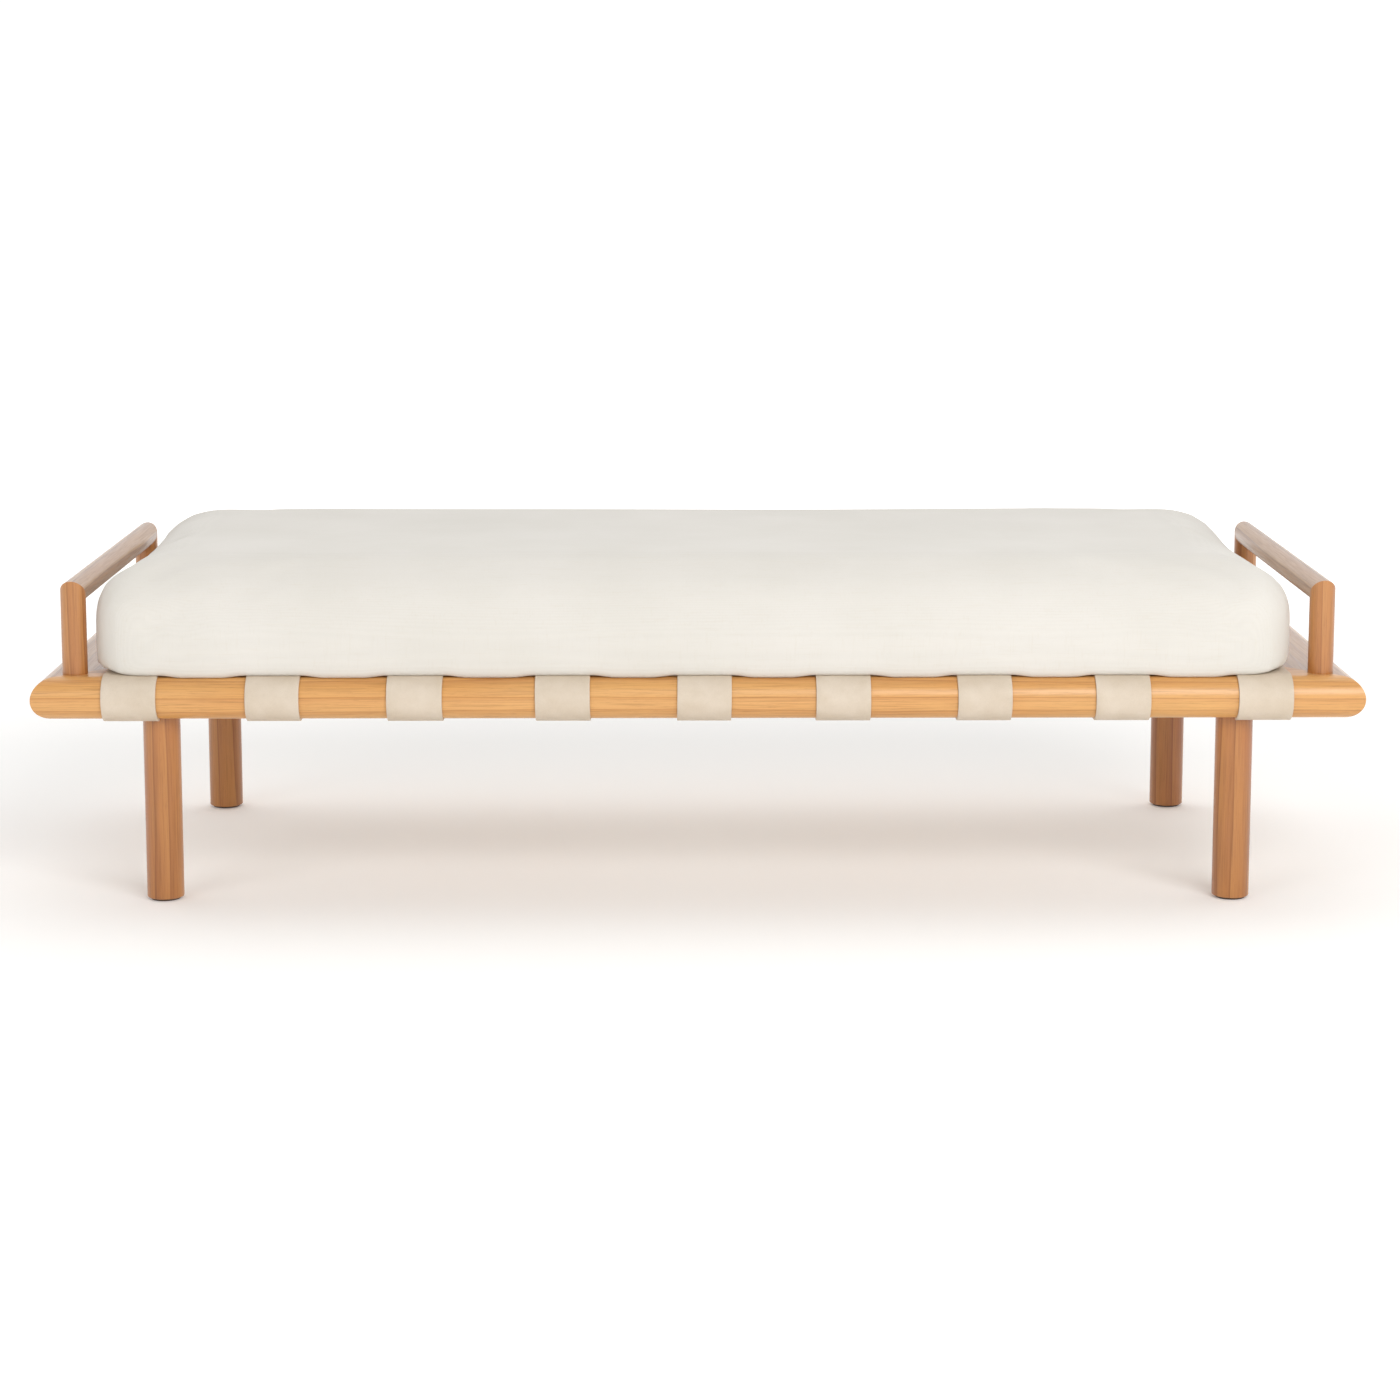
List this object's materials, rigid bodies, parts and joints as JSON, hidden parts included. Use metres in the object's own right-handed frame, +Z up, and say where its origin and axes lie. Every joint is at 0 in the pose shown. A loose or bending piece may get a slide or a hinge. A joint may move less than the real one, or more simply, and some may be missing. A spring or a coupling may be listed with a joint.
{
  "type": "daybed",
  "caption": "Low daybed: bullnosed hardwood frame on round legs, a round handle at each end, leather straps over the long rails and one loose canvas mattress.",
  "frame": {"origin": "on the floor under the middle of the bed", "axes": "+X along the bed's length to the right seen from the front, the front faces -Y, +Z up"},
  "size_m": [2, 0.768, 0.5203],
  "materials": {
    "oiled_hardwood": "satin",
    "beech_dowel": "matte",
    "leather": "matte",
    "canvas": "matte",
    "foam": "matte",
    "felt": "matte",
    "zip_tape": "matte",
    "nickel": "satin",
    "zinc_plated_steel": "satin",
    "brass": "satin"
  },
  "bodies": {
    "frame": {"front_rail": "oiled_hardwood", "back_rail": "oiled_hardwood", "left_end_rail": "oiled_hardwood", "right_end_rail": "oiled_hardwood", "stretcher_left": "oiled_hardwood", "stretcher_right": "oiled_hardwood", "leg_front_left": "oiled_hardwood", "leg_back_left": "oiled_hardwood", "leg_front_right": "oiled_hardwood", "leg_back_right": "oiled_hardwood", "upright_front_left": "oiled_hardwood", "upright_back_left": "oiled_hardwood", "upright_front_right": "oiled_hardwood", "upright_back_right": "oiled_hardwood", "handle_rail_left": "oiled_hardwood", "handle_rail_right": "oiled_hardwood", "corner_tenons": "beech_dowel", "stretcher_dowels": "beech_dowel", "handle_dowels": "beech_dowel", "felt_pad_front_left": "felt", "felt_pad_back_left": "felt", "felt_pad_front_right": "felt", "felt_pad_back_right": "felt", "strap_1": "leather", "strap_2": "leather", "strap_3": "leather", "strap_4": "leather", "strap_5": "leather", "strap_6": "leather", "strap_7": "leather", "strap_8": "leather", "strap_9": "leather", "leg_hanger_bolts": "zinc_plated_steel", "handle_bolts": "zinc_plated_steel", "handle_washers": "zinc_plated_steel", "strap_screws": "zinc_plated_steel", "strap_washers": "zinc_plated_steel", "leg_inserts": "brass", "handle_inserts": "brass"},
    "mattress": {"mattress_core": "foam", "mattress_cover": "canvas", "zip_tape": "zip_tape", "zip_chain": "nickel", "zip_stops": "nickel"},
    "zip_slider": {"zip_slider": "nickel"},
    "zip_pull": {"zip_pull": "nickel"}
  },
  "joints": [
    {"name": "mattress_lift", "type": "slide", "parent": "frame", "child": "mattress", "axis": [0, 0, 1], "range_m": [0, 0.25]},
    {"name": "zip_slide", "type": "slide", "parent": "mattress", "child": "zip_slider", "axis": [-1, 0, 0], "range_m": [0, 1.215]},
    {"name": "zip_pull_swing", "type": "hinge", "parent": "zip_slider", "child": "zip_pull", "pos_m": [0.604, 0.3772, 0.4053], "axis": [0, 0, -1], "range_deg": [0, 180]}
  ]
}
